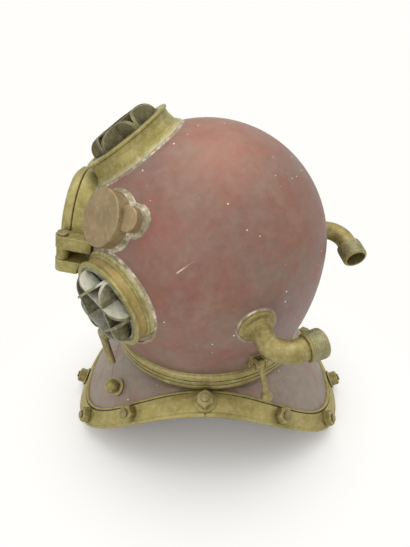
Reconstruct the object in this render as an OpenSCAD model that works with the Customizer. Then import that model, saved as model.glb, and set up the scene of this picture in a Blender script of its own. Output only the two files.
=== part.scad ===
// Copper and brass diving helmet with four windows and a twelve-stud breastplate.
// Millimetres. The helmet stands on z = 0 with the bonnet's vertical axis at x = y = 0.
// The faceplate looks along -Y and the diver's left is +X.

/* [Bonnet] */
// Radius of the bonnet's ball-shaped crown
bonnet_r = 161; // [150:0.5:166]
// Height of the crown's centre above the floor
bonnet_z = 289; // [280:1:300]
// From the neck ring's outer face in to the bonnet's sheet where it leaves the ring
neck_inset = 3.98551; // [3:0.00001:5]
// Wall of the spun copper bonnet
bonnet_wall = 2.5; // [2:0.1:4]

/* [Neck joint] */
// Height of the bonnet ring's lower face
neck_z = 142; // [139:0.5:148]
// Outer radius of the bonnet ring
neck_r = 138; // [137:0.5:141]
// Height of the bonnet ring
neck_h = 22; // [20:0.5:26]
// From the ring's outer face in to the opening for the diver's head
neck_wall = 28; // [26:0.5:32]
// Wall of the collar that stands up from the breastplate
collar_wall = 12.6; // [11:0.1:13]
// How far each lug of the broken thread stands out
lug_depth = 3; // [2:0.1:3.4]
// Height of one row of lugs
lug_h = 4; // [3:0.1:4.5]
// Rows of lugs on each half of the joint
lug_rows = 2; // [1:1:2]
// Lugs in each row, each as long as the gap beside it
lug_count = 4; // [3:1:6]
// Thickness of the leather neck gasket
gasket_t = 2; // [1.5:0.1:3]

/* [Breastplate] */
// From the bonnet ring's outer face out to the plate's front and back edges
plate_front_reach = 76; // [66:1:87]
// From the bonnet ring's outer face out to the plate's shoulder edges
plate_side_reach = 25; // [22:0.5:34]
// How high the plate's edge arches over the shoulders
plate_arch = 119; // [108:0.5:121]
// How square the plate's outline is, where 2 is an oval
plate_square = 2.4; // [2.2:0.1:3]
// Sheet thickness of the breastplate
plate_wall = 2.5; // [2:0.1:4]

/* [Brails] */
// Width of the four brass straps
brail_w = 30; // [24:0.5:31]
// Thickness of the brass straps
brail_t = 4.5; // [3:0.25:5]
// Gap between the ends of neighbouring straps
brail_slit = 1.2; // [0.6:0.1:2.5]
// Radius of the studs that clamp the straps
stud_r = 5; // [4:0.25:6]
// From the plate's edge to the studs, along the sheet
stud_s = 18.5; // [16:0.5:20]
// Angle from the shoulder to the stud beside it
stud_a = 35.5; // [32:0.1:44]
// Angle from the shoulder to the corner stud
stud_b = 61.7; // [56:0.1:66]
// Corner radius of the nuts
nut_r = 11.5; // [9:0.25:13]
// Height of the nuts
nut_h = 11; // [8:0.5:14]
// Radius of the flange on the four nuts that bridge two straps
nut_flange_r = 15; // [13:0.25:15.5]

/* [Faceplate] */
// Angle by which the front port looks upwards
front_tilt = 12; // [9:0.5:14]
// Outer radius of the port ring and of its door
door_r = 66; // [62:0.5:69]
// How far the port ring's seat stands out from the bonnet's sheet
door_rise = 9; // [6:0.5:13]
// Thickness of the door
door_t = 13; // [12:0.5:16]
// Radius of the front window's clear opening
front_bore_r = 50; // [44:0.5:52]
// From the port's axis to the hinge pin
hinge_x = 78; // [77:0.5:84]
// Radius of the hinge pin
hinge_pin_r = 4; // [3:0.25:5]
// Height of each hinge ear
ear_h = 16; // [12:0.5:20]
// Space between the hinge ears
ear_gap = 16; // [10:0.5:18]
// Angle of the swing bolt at rest, from its clamped place
bolt_rest = 75; // [60:1:85]
// Radius of the swing bolt
bolt_r = 5; // [4:0.25:6]

/* [Windows] */
// Width of the top window ring's lip, from the glass out
top_lip_w = 10.5; // [7:0.5:12]
// Width of a side window ring's lip, from the glass out
side_lip_w = 7; // [6:0.5:10]
// How far the top window's lip stands out from the bonnet's sheet
top_rise = 13.5; // [10:0.5:19]
// How far a side window's lip stands out from the bonnet's sheet
side_rise = 10; // [8:0.5:15]
// Angle of the top window above the horizontal
top_tilt = 55.5; // [55:0.5:59]
// Angle of the side windows round from the front
side_turn = 47; // [46:0.5:52]
// Angle of the side windows below the horizontal
side_drop = 7.5; // [5:0.5:9]
// Radius of the glass discs
glass_r = 50; // [46:0.5:51]
// Thickness of the glass discs
glass_t = 9; // [6:0.5:10]
// Thickness of the bars in the window guards
guard_bar = 3; // [2:0.25:5]
// How far the guards stand out from their rims
guard_rise = 17; // [12:0.5:20]

/* [Telephone cup] */
// Radius of the telephone cup
cup_r = 32.5; // [28:0.5:34]
// How far the cup's flat face stands out from the bonnet's sheet
cup_rise = 17; // [13:0.5:23]
// Angle of the cup round from the front
cup_turn = 44; // [42:0.5:46]
// Angle of the cup above the horizontal
cup_lift = 28; // [27.5:0.5:30]
// Radius of the lead boss beside the cup
boss_r = 14; // [10:0.5:16]

/* [Elbows] */
// Outer radius of the elbow tubes
elbow_r = 13.2; // [12:0.1:14]
// Bore radius of the elbow tubes
elbow_bore_r = 10; // [8:0.1:10.5]
// Bend radius of the elbows
elbow_bend = 26.5; // [24:0.5:34]
// Outer radius of the threaded sleeves
sleeve_r = 16.5; // [15.5:0.1:18]
// Length of the air elbow's threaded sleeve
air_sleeve_len = 22; // [22:0.5:30]
// Length of the telephone elbow's threaded sleeve
phone_sleeve_len = 26.5; // [20:0.5:32]
// Reach of the air elbow before it bends
air_reach = 21.5; // [16:0.5:26]
// Reach of the telephone elbow before it bends
phone_reach = 16; // [14:0.5:30]

/* [Valves and latch] */
// Radius of the exhaust valve's body
exhaust_r = 27; // [25:0.5:30]
// Radius of the exhaust handwheel
wheel_r = 24; // [20:0.5:27]
// Travel of the exhaust valve and its chin button
chin_travel = 6; // [4:0.5:7]
// Radius of the spitcock's body
spit_r = 10; // [9:0.5:12]
// Length of the spitcock's lever
spit_lever = 42; // [28:1:44]
// Length of the safety latch from pin to knob
latch_len = 43; // [34:1:46]

/* [Hidden] */
$fn = 96;

// Clearances: between soldered pieces, between pieces that move, and in a running fit
seat_gap = 0.1;
move_gap = 0.4;
run_gap = 0.05;
far = 400;

copper = "#8f6660";
brass = "#a3915c";
dark_brass = "#6f6436";
glass_tint = "#6d776b";
leather = "#3a2c20";
rubber = "#2b2b2a";

// Places things at an angle round from the front and an angle above the horizontal.
// The child's +Z then points out of the bonnet, +Y up and +X towards the diver's left.
module on_bonnet(turn, lift)
    translate([0, 0, bonnet_z]) rotate([0, 0, turn]) rotate([90 - lift, 0, 0]) children();

// The spun sheet sits in a rebate of the ring, this far above the ring's lower face.
neck_lap = 16;

// The arc that draws the lower bonnet in passes through the widest part and the ring's top.
neck_drop = bonnet_z - neck_z - neck_h;
neck_run = bonnet_r - neck_r + neck_inset;
lower_r = (neck_drop * neck_drop + neck_run * neck_run) / (2 * neck_run);

// Outer form of the bonnet, grown by d, as a half profile beside its axis.
module bonnet_profile(d, foot)
{
    intersection() {
        circle(r = bonnet_r + d, $fn = 160);
        square([far, far]);
    }
    intersection() {
        translate([bonnet_r - lower_r, 0]) circle(r = lower_r + d, $fn = 260);
        translate([0, neck_z + neck_lap - bonnet_z - foot])
            square([far, bonnet_z - neck_z - neck_lap + foot]);
    }
}
module bonnet_solid(d, foot = 0)
    translate([0, 0, bonnet_z]) rotate_extrude($fn = 160) bonnet_profile(d, foot);

// Breastplate
neck_bore_r = neck_r - neck_wall;
plate_front = neck_r + plate_front_reach;
plate_side = neck_r + plate_side_reach;
collar_r = neck_bore_r + collar_wall;
collar_flange_r = neck_r - 7;
collar_flange_t = 7;
collar_flange_z = neck_z - gasket_t - collar_flange_t;
spigot_h = 10;
plate_top_r = collar_r + 1.6 + seat_gap;
plate_top_z = collar_flange_z - 0.3;
around = 96;
across = 9;
fullness = [0.36, 0.58];
droop = [0.1, 0.35];
arch_power = 1.33;

function unit(v) = v / norm(v);
function rim_reach(a) = pow(pow(abs(cos(a)) / plate_side, plate_square)
    + pow(abs(sin(a)) / plate_front, plate_square), -1 / plate_square);
function rim_height(a) =
    let (u = min(1, abs(rim_reach(a) * sin(a)) / plate_front))
    plate_arch * pow(max(0, 1 - u * u), arch_power);

// The sheet runs from the collar (t = 0) to its rim (t = 1), flat over the shoulders and
// full over the chest and back.
function blend(v, k) = v[0] + (v[1] - v[0]) * k;
function plate_point(a, t) =
    let (e = rim_reach(a), ez = rim_height(a),
        k = pow(sin(a), 2), m = plate_top_r + blend(fullness, k) * (e - plate_top_r),
        mz = plate_top_z - blend(droop, k) * (plate_top_z - ez),
        r = pow(1 - t, 2) * plate_top_r + 2 * t * (1 - t) * m + t * t * e,
        z = pow(1 - t, 2) * plate_top_z + 2 * t * (1 - t) * mz + t * t * ez)
    [r * cos(a), r * sin(a), z];
function plate_normal(a, t) =
    let (d = 0.01)
    unit(cross(plate_point(a, t + d) - plate_point(a, t - d),
        plate_point(a + d, t) - plate_point(a - d, t)));
function plate_at(a, t, out) = plate_point(a, t) + out * plate_normal(a, t);

// The t of the point that lies s above the rim, found by halving.
function rim_t(a, s, lo = 0, hi = 1, n = 14) =
    n == 0 ? (lo + hi) / 2
    : let (mid = (lo + hi) / 2)
        norm(plate_point(a, mid) - plate_point(a, 1)) > s ? rim_t(a, s, mid, hi, n - 1)
        : rim_t(a, s, lo, mid, n - 1);

// A closed loft through rings of equal length, capped at its ends or joined round.
module loft(rings, closed = false)
{
    n = len(rings[0]);
    k = len(rings);
    spans = closed ? k : k - 1;
    sides = [for (i = [0:spans - 1], j = [0:n - 1], h = [0, 1])
        let (i2 = (i + 1) % k, j2 = (j + 1) % n)
        h == 0 ? [i * n + j, i2 * n + j, i2 * n + j2] : [i * n + j, i2 * n + j2, i * n + j2]];
    caps = closed ? [] : [[for (j = [0:n - 1]) j], [for (j = [n - 1:-1:0]) (k - 1) * n + j]];
    polyhedron([for (r = rings) each r], concat(sides, caps), convexity = 8);
}

// Puts a child's +Z along the plate's normal, s above the rim.
module at_rim(a, s, out = 0)
{
    t = rim_t(a, s);
    p = plate_at(a, t, out);
    v = plate_normal(a, t);
    translate(p) rotate([0, acos(v[2]), atan2(v[1], v[0])]) children();
}

stud_angles = [for (side = [0, 180]) each [side - stud_b, side - stud_a, side, side + stud_a,
    side + stud_b, side + 90]];
joint_angles = [0, 90, 180, 270];
plain_angles = [for (side = [0, 180], a = [-stud_b, -stud_a, stud_a, stud_b]) side + a];
stud_hole_r = stud_r + 0.3;
brail_gap = 0.4;
stud_head_t = 3;
nut_seat = brail_gap + brail_t + 0.1;
flange_nut_t = 3.5;

// The sheet is drawn from a little inside the collar and cut off at its spigot.
module breastplate_shell()
{
    rows = [-0.05, for (j = [1:across]) j / across];
    color(copper) difference() {
        loft([for (i = [0:around - 1])
            let (a = i * 360 / around)
            concat([for (j = [0:across]) plate_at(a, rows[j], 0)],
                [for (j = [across:-1:0]) plate_at(a, rows[j], -plate_wall)])], true);
        for (a = stud_angles) at_rim(a, stud_s, -12) cylinder(r = stud_hole_r, h = 30, $fn = 32);
        translate([0, 0, collar_flange_z - 30]) cylinder(r = plate_top_r, h = 60, $fn = 128);
    }
}

// A sector of a ring: full wedges between the angles.
module wedges(count, part, start)
    for (i = [0:count - 1]) rotate([0, 0, start + i * 360 / count])
        linear_extrude(far) polygon([[0, 0], for (k = [0:4])
            let (a = k * part / 4) far * [cos(a), sin(a)]]);

neck_inner_r = collar_r + lug_depth + move_gap;
lug_gap = 0.5;
lug_pitch = 2 * (lug_h + lug_gap);
lug_arc = 180 / lug_count - 3;
lug_z = neck_z + 1;

module breastplate_collar()
    color(brass) union() {
        rotate_extrude($fn = 128) polygon([
            [neck_bore_r, collar_flange_z - spigot_h], [collar_r + 1.6, collar_flange_z - spigot_h],
            [collar_r + 1.6, collar_flange_z], [collar_flange_r, collar_flange_z],
            [collar_flange_r, neck_z - gasket_t], [collar_r, neck_z - gasket_t],
            [collar_r, neck_z + neck_h - 2], [neck_bore_r, neck_z + neck_h - 2]]);
        intersection() {
            for (k = [0:lug_rows - 1]) translate([0, 0, lug_z + lug_h + lug_gap + k * lug_pitch])
                rotate_extrude($fn = 128) translate([collar_r - 1, 0])
                    square([lug_depth + 1 - move_gap, lug_h]);
            wedges(lug_count, lug_arc, -lug_arc / 2);
        }
    }

module neck_gasket()
    color(leather) translate([0, 0, neck_z - gasket_t]) rotate_extrude($fn = 128)
        translate([collar_r + lug_depth, 0])
            square([collar_flange_r - collar_r - lug_depth, gasket_t - move_gap]);

// One strap, as a loft of its crowned section along a quarter of the rim. Those across the
// helmet from it are its mirror images.
module brail(from)
{
    steps = around / 4;
    lift = [0.72, 0.96, 1, 0.96, 0.72];
    rows = len(lift) - 1;
    color(brass) difference() {
        loft([for (i = [0:steps])
            let (half = asin(brail_slit / 2 / rim_reach(from)),
                a = from + min(90 - half, max(half, i * 90 / steps)))
            concat([for (j = [0:rows]) plate_at(a, rim_t(a, j * brail_w / rows),
                    brail_gap + brail_t * lift[j])],
                [for (j = [rows:-1:0]) plate_at(a, rim_t(a, j * brail_w / rows), brail_gap)])]);
        for (a = [from, from + 90]) at_rim(a, stud_s, -2)
            cylinder(r = stud_hole_r, h = 20, $fn = 32);
        for (a = stud_angles) if (cos(a - from - 45) > 0.8) at_rim(a, stud_s, -2)
            cylinder(r = stud_hole_r, h = 20, $fn = 32);
    }
}
module brail_front_left() mirror([1, 0, 0]) brail(180);
module brail_front_right() brail(180);
module brail_back_left() brail(0);
module brail_back_right() mirror([1, 0, 0]) brail(0);

module rim_studs()
    color(dark_brass) for (a = stud_angles) {
        joint = abs(sin(2 * a)) < 0.01;
        top = nut_seat + nut_h + (joint ? flange_nut_t : 0) + 2.5;
        at_rim(a, stud_s) {
            translate([0, 0, -plate_wall - stud_head_t - 0.6])
                cylinder(r = stud_r * 1.7, h = stud_head_t, $fn = 48);
            translate([0, 0, -plate_wall - 1]) cylinder(r = stud_r, h = plate_wall + 1 + top, $fn = 48);
        }
    }

// A hexagon nut whose top corners are turned off.
module hex_nut(h)
    difference() {
        intersection() {
            cylinder(r = nut_r, h = h, $fn = 6);
            rotate_extrude($fn = 64) polygon([[0, 0], [nut_r, 0], [nut_r, h - 2.4], [nut_r - 2.6, h],
                [0, h]]);
        }
        translate([0, 0, -1]) cylinder(r = stud_r + seat_gap, h = h + 2, $fn = 48);
    }
module rim_nuts()
    color(brass) for (a = plain_angles) at_rim(a, stud_s) translate([0, 0, nut_seat]) hex_nut(nut_h);
module joint_nuts()
    color(brass) for (a = joint_angles) at_rim(a, stud_s) translate([0, 0, nut_seat]) {
        difference() {
            rotate_extrude($fn = 64) polygon([[0, 0], [nut_flange_r - 1, 0], [nut_flange_r, 1],
                [nut_flange_r, flange_nut_t - 1.5], [nut_flange_r - 3, flange_nut_t],
                [0, flange_nut_t]]);
            translate([0, 0, -1]) cylinder(r = stud_r + seat_gap, h = flange_nut_t + 2, $fn = 48);
        }
        translate([0, 0, flange_nut_t]) hex_nut(nut_h);
    }

lanyard_a = 52;
lanyard_s = 72;
lanyard_ball_r = 10;
module lanyard_stud(a)
    color(brass) at_rim(a, lanyard_s, 0.3) {
        rotate_extrude($fn = 64) polygon([[0, 0], [12, 0], [12, 2], [9, 3.5], [5, 4.5], [4.6, 8],
            [0, 8]]);
        translate([0, 0, 12.5]) sphere(r = lanyard_ball_r, $fn = 64);
    }
module lanyard_stud_left() lanyard_stud(-lanyard_a);
module lanyard_stud_right() lanyard_stud(180 + lanyard_a);

// Bonnet. The tubes of the windows' rings stand a wall outside the glass.
port_tube_r = glass_r + 3;
front_tube_r = 57;
elbow_flange_r = 23;
port_foot = bonnet_r - 18;
door_seat = bonnet_r + door_rise;
top_lip = bonnet_r + top_rise;
side_lip = bonnet_r + side_rise;
cup_face = bonnet_r + cup_rise;
root_z = bonnet_r - 31;
elbow_hole_r = elbow_bore_r + 1.6;
air_turn = 112;
air_lift = -11.5;
air_roll = 6;
phone_turn = -165;
phone_lift = -2;
phone_roll = 199;
boss_turn = 57.5;
boss_lift = 31;
exhaust_turn = -116;
exhaust_lift = -14;
spit_turn = 34.5;
spit_z = neck_z + 55;
lead_hole_r = 5;

module bonnet_shell()
    color(copper) difference() {
        bonnet_solid(0);
        bonnet_solid(-bonnet_wall, 1);
        on_bonnet(0, front_tilt) cylinder(r = front_tube_r + seat_gap, h = far);
        on_bonnet(0, top_tilt) cylinder(r = port_tube_r + seat_gap, h = far);
        for (s = [-1, 1]) on_bonnet(s * side_turn, -side_drop)
            cylinder(r = port_tube_r + seat_gap, h = far);
        on_bonnet(cup_turn, cup_lift) cylinder(r = cup_r - cup_wall, h = far);
        on_bonnet(boss_turn, boss_lift) cylinder(r = lead_hole_r, h = far, $fn = 48);
        on_bonnet(air_turn, air_lift) cylinder(r = elbow_hole_r, h = far, $fn = 64);
        on_bonnet(phone_turn, phone_lift) cylinder(r = elbow_hole_r, h = far, $fn = 64);
        on_bonnet(exhaust_turn, exhaust_lift) cylinder(r = exhaust_hole_r, h = far, $fn = 64);
        at_wall(spit_turn, spit_z) cylinder(r = spit_hole_r, h = far, $fn = 48);
    }

// Radius of the bonnet's outer form at a height above the floor.
function bonnet_at(z) = z >= bonnet_z ? sqrt(pow(bonnet_r, 2) - pow(z - bonnet_z, 2))
    : sqrt(pow(lower_r, 2) - pow(z - bonnet_z, 2)) - lower_r + bonnet_r;

// Puts a child's +Z level and outwards from the axis, +Y up, at an angle round from the front.
module at_wall(turn, z) translate([0, 0, z]) rotate([90, 0, turn]) children();

module bonnet_ring()
    color(brass) union() {
        difference() {
            translate([0, 0, neck_z]) rotate_extrude($fn = 128) polygon([
                [neck_inner_r, 0], [neck_r - 1, 0], [neck_r, 1], [neck_r, 5.5], [neck_r - 1.6, 6],
                [neck_r - 1.6, 7.5], [neck_r, 8], [neck_r, 12], [neck_r - 1.6, 12.5],
                [neck_r - 1.6, 14], [neck_r, 14.5], [neck_r - 0.4, neck_h - 2], [neck_r - 2, neck_h],
                [neck_inner_r, neck_h]]);
            bonnet_solid(seat_gap);
        }
        intersection() {
            for (k = [0:lug_rows - 1]) translate([0, 0, lug_z + k * lug_pitch])
                rotate_extrude($fn = 128) translate([collar_r + move_gap, 0])
                    square([lug_depth + 1, lug_h]);
            wedges(lug_count, lug_arc, -lug_arc / 2);
        }
    }

// A ring that stands on the bonnet round a hole: a tube through the sheet, and outside it
// a turned profile whose foot is cut to the bonnet's form.
module seated_ring(turn, lift, tube_r, foot_h, top)
    difference() {
        union() {
            on_bonnet(turn, lift) translate([0, 0, foot_h]) cylinder(r = tube_r, h = top - foot_h);
            difference() {
                on_bonnet(turn, lift) children(0);
                bonnet_solid(seat_gap);
            }
        }
        on_bonnet(turn, lift) children(1);
    }

// A window's ring: a lip of radius r over a wall that spreads to a foot.
module window_ring(turn, lift, lip, r, foot, foot_z)
{
    wall = r - 2.5;
    spread = foot - wall;
    color(brass) seated_ring(turn, lift, port_tube_r, port_foot, lip) {
        rotate_extrude($fn = 128) polygon([
            [port_tube_r - 1, root_z], [foot, root_z], [foot, foot_z],
            [wall + 0.25 * spread, foot_z + 0.75 * spread], [wall, foot_z + 1.8 * spread],
            [wall, lip - 4], [r, lip - 3], [r, lip - 0.8], [r - 0.8, lip], [port_tube_r - 1, lip]]);
        union() {
            translate([0, 0, 100]) cylinder(r = glass_r - 4, h = far);
            translate([0, 0, lip - glass_t - 4.6]) cylinder(r = glass_r + 0.4, h = far);
        }
    }
}

module window_glass(turn, lift, lip)
    color(glass_tint, 0.6) on_bonnet(turn, lift) translate([0, 0, lip - glass_t - 4.3])
        rotate_extrude($fn = 96) polygon([[0, 0], [glass_r - 0.6, 0], [glass_r, 0.6],
            [glass_r, glass_t - 0.6], [glass_r - 0.6, glass_t], [0, glass_t]]);

// The guard: a rim over the glass and six deep bars that form two crossed triangles.
guard_foot_r = glass_r - 2;
module guard_form()
    rotate_extrude($fn = 96) intersection() {
        union() {
            square([guard_foot_r - guard_rise, guard_rise + 4]);
            translate([guard_foot_r - guard_rise, 4]) circle(r = guard_rise, $fn = 96);
            square([guard_foot_r, 4]);
        }
        square([far, far]);
    }
module window_guard(turn, lift, lip, spin)
    color(brass) on_bonnet(turn, lift) translate([0, 0, lip - 4]) {
        rotate_extrude($fn = 96) polygon([[glass_r - 4.5, 0], [glass_r, 0], [glass_r, 3.4],
            [glass_r - 3.5, 4.4], [glass_r - 4.5, 4]]);
        intersection() {
            for (a = [0:60:300]) rotate([0, 0, spin + a])
                translate([(glass_r - guard_bar) / 2, -glass_r, 0.4]) cube([guard_bar, 2 * glass_r, 40]);
            guard_form();
        }
    }

top_window_r = glass_r + top_lip_w;
side_window_r = glass_r + side_lip_w;
top_foot_r = top_window_r + 5.5;
side_foot_r = side_window_r + 4.5;
top_guard_spin = 36;
side_guard_spin = 8;

// The top window's foot is cut away where the front port's ring stands.
module top_window_ring()
    color(brass) difference() {
        window_ring(0, top_tilt, top_lip, top_window_r, top_foot_r, bonnet_r - 12);
        at_port() translate([0, 0, 100]) cylinder(r = door_r + 0.2, h = door_seat - 100, $fn = 128);
    }
module top_window_glass() window_glass(0, top_tilt, top_lip);
module top_window_guard() window_guard(0, top_tilt, top_lip, top_guard_spin);
module side_window_ring(s)
    window_ring(s * side_turn, -side_drop, side_lip, side_window_r, side_foot_r, bonnet_r - 9);
module left_window_ring() side_window_ring(1);
module left_window_glass() window_glass(side_turn, -side_drop, side_lip);
module left_window_guard() window_guard(side_turn, -side_drop, side_lip, side_guard_spin);
module right_window_ring() side_window_ring(-1);
module right_window_glass() window_glass(-side_turn, -side_drop, side_lip);
module right_window_guard() window_guard(-side_turn, -side_drop, side_lip, -side_guard_spin);

// Front port. In its own frame +Z points forwards out of the port and +Y is up.
module at_port() on_bonnet(0, front_tilt) children();
hinge_z = door_seat + 5;
ear_r = 8.5;
knuckle_r = 7.5;
ear_in = door_r + 0.8;
hinge_drop = 12.5;
bolt_x = -door_r - 11;
bolt_z = door_seat - 10;
bolt_eye_r = 7.5;
bolt_pin_r = 3;
bolt_ear_t = 6;
bolt_slot = bolt_r + 0.8;
lug_top = door_seat + door_t + 2;
lug_out = 7;
ear_foot = door_seat - 30;

// One ear of the hinge or of the swing bolt, seen along its pin, standing out from the ring.
module ear(x, z, r, inner, h)
    rotate([90, 0, 0]) translate([0, 0, -h / 2]) linear_extrude(h) {
        translate([x, z]) circle(r = r, $fn = 64);
        side = sign(x);
        translate([min(side * inner, x + side * r), ear_foot])
            square([abs(x + side * r - side * inner), z - ear_foot]);
        translate([min(side * (door_r - 8), x), ear_foot]) square([abs(x - side * (door_r - 8)),
            door_seat - 1 - ear_foot]);
    }

module front_port_ring()
    color(brass) difference() {
        seated_ring(0, front_tilt, front_tube_r, port_foot, door_seat) {
            union() {
                rotate_extrude($fn = 128) polygon([[front_tube_r - 1, root_z - 5], [door_r, root_z - 5],
                    [door_r, door_seat - 1.2], [door_r - 1.2, door_seat], [front_tube_r - 1, door_seat]]);
                for (s = [-1, 1]) translate([0, s * (ear_gap + ear_h) / 2 - hinge_drop, 0])
                    ear(hinge_x, hinge_z, ear_r, ear_in, ear_h);
                for (s = [-1, 1]) translate([0, s * (bolt_slot + bolt_ear_t / 2 + 0.2), 0])
                    ear(bolt_x, bolt_z, bolt_eye_r, door_r - 4, bolt_ear_t);
            }
            union() {
                translate([0, 0, 100]) cylinder(r = front_bore_r, h = far);
                translate([0, 0, door_seat - gasket_groove]) difference() {
                    cylinder(r = front_bore_r + 11, h = far);
                    translate([0, 0, -1]) cylinder(r = front_bore_r + 4, h = far);
                }
                translate([hinge_x, -60 - hinge_drop, hinge_z]) rotate([-90, 0, 0])
                    cylinder(r = hinge_pin_r + 0.02, h = 120, $fn = 64);
                translate([bolt_x, -30, bolt_z]) rotate([-90, 0, 0])
                    cylinder(r = bolt_pin_r + 0.02, h = 60, $fn = 48);
            }
        }
        // The ears are filed back where the side windows' rings stand.
        for (s = [-1, 1]) on_bonnet(s * side_turn, -side_drop) translate([0, 0, 100])
            cylinder(r = side_foot_r + 0.3, h = side_lip + 0.5 - 100, $fn = 128);
    }

module hinge_pin()
    color(dark_brass) at_port() translate([hinge_x, -hinge_drop, hinge_z]) rotate([-90, 0, 0]) {
        half = ear_gap / 2 + ear_h;
        translate([0, 0, -half - 2]) cylinder(r = hinge_pin_r, h = 2 * half + 3.9, $fn = 64);
        translate([0, 0, half + 0.1]) cylinder(r = hinge_pin_r + 2.5, h = 3, $fn = 64);
    }

module bolt_pin()
    color(dark_brass) at_port() translate([bolt_x, 0, bolt_z]) rotate([-90, 0, 0]) {
        half = bolt_slot + bolt_ear_t + 0.2;
        translate([0, 0, -half - 1.5]) cylinder(r = bolt_pin_r, h = 2 * half + 3.4, $fn = 48);
        translate([0, 0, half + 0.1]) cylinder(r = bolt_pin_r + 1.8, h = 2, $fn = 48);
    }

gasket_groove = 3;
door_gap = 0.5;
door_bore_r = front_bore_r + 5.5;
retainer_r = door_bore_r - 0.1;
door_glass_z = door_seat + door_gap + 2.2;

module faceplate_frame()
    color(brass) at_port() difference() {
        union() {
            rotate_extrude($fn = 128) polygon([
                [front_bore_r, door_seat + door_gap], [door_r - 1, door_seat + door_gap],
                [door_r, door_seat + door_gap + 1], [door_r, door_seat + door_t - 5],
                [door_r - 5, door_seat + door_t], [door_bore_r, door_seat + door_t],
                [door_bore_r, door_glass_z], [front_bore_r, door_glass_z]]);
            // Hinge knuckle and its web
            translate([hinge_x, -ear_gap / 2 + 0.4 - hinge_drop, hinge_z]) rotate([-90, 0, 0])
                cylinder(r = knuckle_r, h = ear_gap - 0.8, $fn = 64);
            translate([door_r - 6, -ear_gap / 2 + 0.4 - hinge_drop, door_seat + door_gap + 0.5])
                cube([hinge_x - door_r + 6, ear_gap - 0.8, hinge_z + knuckle_r - 4 - door_seat - door_gap]);
        }
        translate([hinge_x, -60, hinge_z]) rotate([-90, 0, 0])
            cylinder(r = hinge_pin_r + run_gap, h = 120, $fn = 64);
    }

// The fork that takes the swing bolt, brazed to the door's rim.
module faceplate_fork()
    color(brass) at_port() difference() {
        translate([bolt_x - lug_out, -15, door_seat + 2.5])
            cube([lug_out - bolt_x - door_r + 6, 30, lug_top - door_seat - 2.5]);
        translate([0, 0, 100]) cylinder(r = door_r + seat_gap, h = 120, $fn = 128);
        translate([bolt_x - 20, -bolt_slot, 100]) cube([20, 2 * bolt_slot, 120]);
        translate([bolt_x, 0, 100]) cylinder(r = bolt_slot, h = 120, $fn = 48);
    }

module faceplate_gasket()
    color(rubber) at_port() translate([0, 0, door_seat - gasket_groove]) rotate_extrude($fn = 96)
        translate([front_bore_r + 4.2, 0]) square([6.6, gasket_groove + 0.1]);

module faceplate_glass()
    color(glass_tint, 0.6) at_port() translate([0, 0, door_glass_z + 0.1]) rotate_extrude($fn = 96)
        polygon([[0, 0], [retainer_r, 0], [retainer_r, 6], [0, 6]]);

// The threaded ring that holds the glass, with four notches for its key.
module faceplate_retainer()
    color(brass) at_port() difference() {
        translate([0, 0, door_glass_z + 6.2]) rotate_extrude($fn = 96) polygon([
            [front_bore_r, 0], [retainer_r, 0], [retainer_r, 4], [front_bore_r + 1.2, 4],
            [front_bore_r, 2.8]]);
        for (a = [45:90:315]) rotate([0, 0, a])
            translate([front_bore_r + 1.5, -3, door_glass_z + 8.2]) cube([10, 6, 10]);
    }

// The swing bolt, drawn upright and then laid out to where it rests.
module at_bolt() at_port() translate([bolt_x, 0, bolt_z]) rotate([0, -bolt_rest, 0]) children();
bolt_len = 46;
wing_z = norm([lug_out, lug_top - bolt_z]) + move_gap;
module swing_bolt()
    color(dark_brass) at_bolt() difference() {
        union() {
            translate([0, -bolt_slot + 0.4, 0]) rotate([-90, 0, 0])
                cylinder(r = bolt_eye_r, h = 2 * bolt_slot - 0.8, $fn = 64);
            cylinder(r = bolt_r, h = bolt_len, $fn = 64);
        }
        translate([0, -20, 0]) rotate([-90, 0, 0]) cylinder(r = bolt_pin_r + run_gap, h = 40, $fn = 48);
    }

module wing_nut()
    color(brass) at_bolt() translate([0, 0, wing_z]) difference() {
        union() {
            rotate_extrude($fn = 64) polygon([[0, 0], [10.5, 0], [10.5, 3], [9, 4], [7.5, 14],
                [0, 14]]);
            rotate([90, 0, 90]) translate([0, 0, -2.5]) linear_extrude(5) for (s = [-1, 1])
                difference() {
                    union() {
                        translate([s * 17, 15]) circle(r = 8, $fn = 48);
                        polygon([[s * 4, 4], [s * 9, 4], [s * 22, 9], [s * 15, 20], [s * 4, 12]]);
                    }
                    translate([s * 17.5, 15.5]) circle(r = 2.5, $fn = 32);
                }
        }
        translate([0, 0, -1]) cylinder(r = bolt_r + run_gap, h = 40, $fn = 64);
    }

// Telephone cup with the speaker inside it, and the boss through which its lead comes out.
cup_wall = 3;
speaker_r = cup_r - cup_wall - 1.5;
speaker_z = cup_face - cup_wall - 16;
module telephone_cup()
    color("#9e8864") difference() {
        on_bonnet(cup_turn, cup_lift) rotate_extrude($fn = 96) polygon([[0, root_z], [cup_r, root_z],
            [cup_r, cup_face - 1], [cup_r - 1, cup_face], [0, cup_face]]);
        bonnet_solid(seat_gap);
        on_bonnet(cup_turn, cup_lift) translate([0, 0, root_z - 10])
            cylinder(r = cup_r - cup_wall, h = cup_face - cup_wall - root_z + 10);
    }

module lead_boss()
    color("#9e8864") difference() {
        on_bonnet(boss_turn, boss_lift) rotate_extrude($fn = 64) polygon([[0, root_z], [boss_r, root_z],
            [boss_r, boss_face - 1], [boss_r - 1, boss_face], [0, boss_face]]);
        bonnet_solid(seat_gap);
        on_bonnet(cup_turn, cup_lift) cylinder(r = cup_r + seat_gap, h = far);
        on_bonnet(boss_turn, boss_lift) translate([0, 0, 100])
            cylinder(r = lead_hole_r, h = boss_face - 4 - 100, $fn = 48);
    }
boss_face = cup_face - 3;

module speaker_unit()
    color(rubber) on_bonnet(cup_turn, cup_lift) translate([0, 0, speaker_z]) rotate_extrude($fn = 64)
        polygon([[0, 0], [speaker_r - 5, 0], [speaker_r, 4], [speaker_r, 15.8], [0, 15.8]]);

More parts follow.
